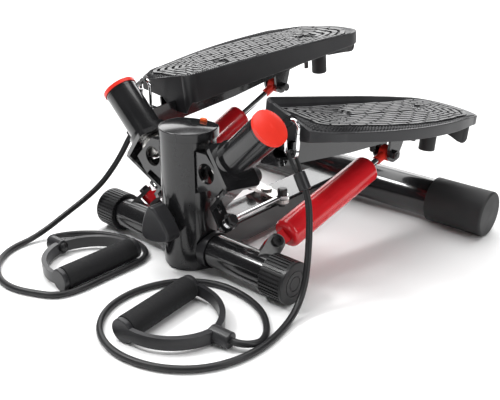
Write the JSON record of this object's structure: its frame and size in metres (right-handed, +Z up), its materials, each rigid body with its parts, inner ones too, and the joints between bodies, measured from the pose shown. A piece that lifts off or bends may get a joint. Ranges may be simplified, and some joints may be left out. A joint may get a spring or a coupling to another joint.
{
  "type": "twist stepper",
  "caption": "Mini twist stepper: linked pedals on tilted hubs, hydraulic cylinders, rocker, step counter and resistance bands with D handles.",
  "frame": {"origin": "on the floor, at the centre of the column's foot", "axes": "+Z up, -Y to the front, +X to the right-hand side seen from the front"},
  "size_m": [0.46, 0.5438, 0.2187],
  "materials": {
    "black_powder_coat": "gloss",
    "charcoal_plastic": "satin",
    "ribbed_plastic": "satin",
    "black_rubber": "matte",
    "zinc_steel": "satin",
    "black_oxide_steel": "satin",
    "dull_steel": "satin",
    "chrome": "polished",
    "red_plastic": "gloss",
    "red_paint": "gloss",
    "orange_plastic": "gloss",
    "display_lens": "gloss",
    "circuit_board": "matte",
    "nylon": "matte",
    "pedal_plastic": "satin",
    "band_rubber": "satin",
    "grip_foam": "matte"
  },
  "bodies": {
    "base_frame": {"front_tube": "black_powder_coat", "front_end_caps": "ribbed_plastic", "tube_collars": "charcoal_plastic", "rear_tube": "black_powder_coat", "rear_end_caps": "black_rubber", "center_beam": "black_powder_coat", "column_tube": "black_powder_coat", "column_foot": "charcoal_plastic", "column_cover": "charcoal_plastic", "console_housing": "charcoal_plastic", "console_display": "display_lens", "circuit_board": "circuit_board", "hinge_brackets": "black_powder_coat", "stop_caps": "black_rubber", "hinge_axles": "zinc_steel", "axle_nuts": "zinc_steel", "thrust_washers": "zinc_steel", "hub_caps": "red_plastic", "band_eye_plates": "black_powder_coat", "cylinder_clevises": "dull_steel", "clevis_bolts": "black_oxide_steel", "rocker_pivot": "zinc_steel", "carabiners": "chrome", "band_loops": "band_rubber", "band_ferrules": "charcoal_plastic", "band_knots": "band_rubber", "handle_brackets": "pedal_plastic", "grip_cores": "charcoal_plastic", "foam_grips": "grip_foam", "left_band": "band_rubber", "right_band": "band_rubber"},
    "rocker": {"rocker_plate": "zinc_steel", "rocker_bolts": "black_oxide_steel"},
    "knob": {"height_knob": "charcoal_plastic", "knob_spindle": "zinc_steel"},
    "button": {"console_button": "orange_plastic"},
    "left_pedal_assembly": {"left_hub_sleeve": "black_powder_coat", "left_hub_bushes": "nylon", "left_hub_crank": "black_powder_coat", "left_pedal_arm": "black_powder_coat", "left_pedal": "pedal_plastic", "left_bumper": "black_rubber", "left_pedal_bolts": "black_oxide_steel"},
    "left_drop_link": {"left_link": "chrome"},
    "left_cylinder_body": {"left_cylinder": "red_paint"},
    "left_rod": {"left_piston_rod": "chrome", "left_rod_eye": "red_plastic"},
    "left_gate": {"left_carabiner_gate": "chrome"},
    "right_pedal_assembly": {"right_hub_sleeve": "black_powder_coat", "right_hub_bushes": "nylon", "right_hub_crank": "black_powder_coat", "right_pedal_arm": "black_powder_coat", "right_pedal": "pedal_plastic", "right_bumper": "black_rubber", "right_pedal_bolts": "black_oxide_steel"},
    "right_drop_link": {"right_link": "chrome"},
    "right_cylinder_body": {"right_cylinder": "red_paint"},
    "right_rod": {"right_piston_rod": "chrome", "right_rod_eye": "red_plastic"},
    "right_gate": {"right_carabiner_gate": "chrome"}
  },
  "joints": [
    {"name": "left_pedal_swing", "type": "hinge", "parent": "base_frame", "child": "left_pedal_assembly", "pos_m": [-0.065, 0, 0.136], "axis": [-0.7254, 0, 0.6884], "range_deg": [-6.38, 24.82]},
    {"name": "right_pedal_swing", "type": "hinge", "parent": "base_frame", "child": "right_pedal_assembly", "pos_m": [0.065, 0, 0.136], "axis": [0.7254, 0, 0.6884], "range_deg": [-6.38, 24.82]},
    {"name": "rocker_turn", "type": "hinge", "parent": "base_frame", "child": "rocker", "pos_m": [0, 0.131, 0.0435], "axis": [0, 0, 1], "range_deg": [-9.5, 36.9]},
    {"name": "right_link_turn", "type": "hinge", "parent": "rocker", "child": "right_drop_link", "pos_m": [0.03206, 0.12319, 0.0435], "axis": [0, 0, 1], "range_deg": [-36.9, 9.5]},
    {"name": "left_link_turn", "type": "hinge", "parent": "rocker", "child": "left_drop_link", "pos_m": [-0.03206, 0.13881, 0.0435], "axis": [0, 0, 1], "range_deg": [-36.9, 9.5]},
    {"name": "right_cylinder_tilt", "type": "hinge", "parent": "base_frame", "child": "right_cylinder_body", "pos_m": [0.1, 0.025, 0.042], "axis": [0.6781, -0.266, 0.6851], "range_deg": [-6.1, 23.7]},
    {"name": "left_cylinder_tilt", "type": "hinge", "parent": "base_frame", "child": "left_cylinder_body", "pos_m": [-0.1, 0.025, 0.042], "axis": [-0.6781, -0.266, 0.6851], "range_deg": [-6.1, 23.7]},
    {"name": "right_rod_slide", "type": "slide", "parent": "right_cylinder_body", "child": "right_rod", "axis": [0.0831, 0.954, 0.2879], "range_m": [-0.0102, 0.0397]},
    {"name": "left_rod_slide", "type": "slide", "parent": "left_cylinder_body", "child": "left_rod", "axis": [0.1415, 0.8676, 0.4766], "range_m": [-0.0397, 0.0102]},
    {"name": "height_knob_turn", "type": "hinge", "parent": "base_frame", "child": "knob", "pos_m": [0, -0.049, 0.06], "axis": [0, -1, 0], "continuous": true},
    {"name": "console_button_press", "type": "slide", "parent": "base_frame", "child": "button", "axis": [0, 0, -1], "range_m": [0, 0.0012], "stiffness_N_per_m": 400, "springref_m": -0.001},
    {"name": "right_gate_turn", "type": "hinge", "parent": "base_frame", "child": "right_gate", "pos_m": [0.1225, 0.033, 0.1538], "axis": [0, -1, 0], "range_deg": [0, 25], "stiffness_Nm_per_rad": 0.02, "springref_deg": -11.46},
    {"name": "left_gate_turn", "type": "hinge", "parent": "base_frame", "child": "left_gate", "pos_m": [-0.1148, 0.0324, 0.1592], "axis": [0, 1, 0], "range_deg": [0, 25], "stiffness_Nm_per_rad": 0.02, "springref_deg": -11.46}
  ],
  "couplings": [
    {"joint": "right_pedal_swing", "follows": "left_pedal_swing", "ratio": 1},
    {"joint": "rocker_turn", "follows": "left_pedal_swing", "ratio": 1.4848},
    {"joint": "right_link_turn", "follows": "left_pedal_swing", "ratio": -1.4848},
    {"joint": "left_link_turn", "follows": "left_pedal_swing", "ratio": -1.4848},
    {"joint": "right_cylinder_tilt", "follows": "left_pedal_swing", "ratio": 0.9531},
    {"joint": "left_cylinder_tilt", "follows": "left_pedal_swing", "ratio": 0.9534},
    {"joint": "right_rod_slide", "follows": "left_pedal_swing", "m_per_rad": 0.09137},
    {"joint": "left_rod_slide", "follows": "left_pedal_swing", "m_per_rad": -0.09147}
  ]
}
